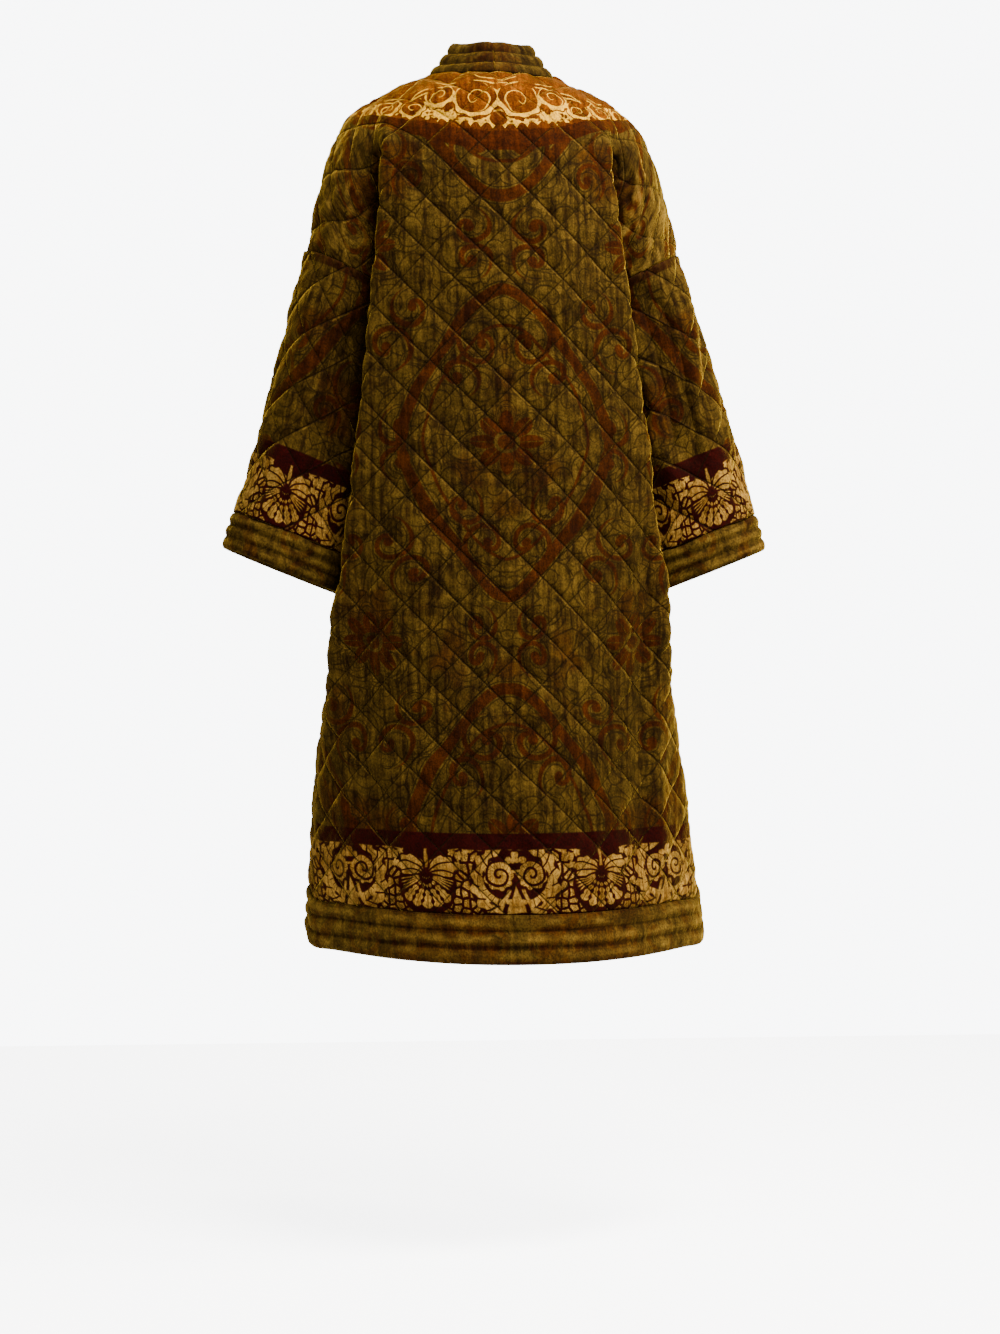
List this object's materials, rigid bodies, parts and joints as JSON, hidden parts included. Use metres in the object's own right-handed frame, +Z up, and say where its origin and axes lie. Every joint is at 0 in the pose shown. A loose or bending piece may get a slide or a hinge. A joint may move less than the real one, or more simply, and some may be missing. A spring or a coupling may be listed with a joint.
{
  "type": "quilted kimono coat",
  "caption": "Long wide kimono coat of quilted velvet, worn open, with dropped shoulders, straight sleeves, and a neckband, cuffs and hem stitched in channels.",
  "frame": {"origin": "middle of the neck opening, level with the tops of the shoulders", "axes": "+Z up, the front faces -Y, the wearer's left is +X"},
  "size_m": [0.7378, 0.3781, 1.2178],
  "materials": {
    "velvet_quilted": "printed velvet, quilted in diamonds",
    "velvet_band": "plain velvet, stitched in channels"
  },
  "bodies": {
    "root": {"back": "velvet_quilted", "front_left": "velvet_quilted", "front_right": "velvet_quilted", "sleeve_left": "velvet_quilted", "sleeve_right": "velvet_quilted", "cuff_left": "velvet_band", "cuff_right": "velvet_band", "hem_back": "velvet_band", "hem_front_left": "velvet_band", "hem_front_right": "velvet_band", "neckband_left": "velvet_band", "neckband_right": "velvet_band"}
  },
  "joints": []
}
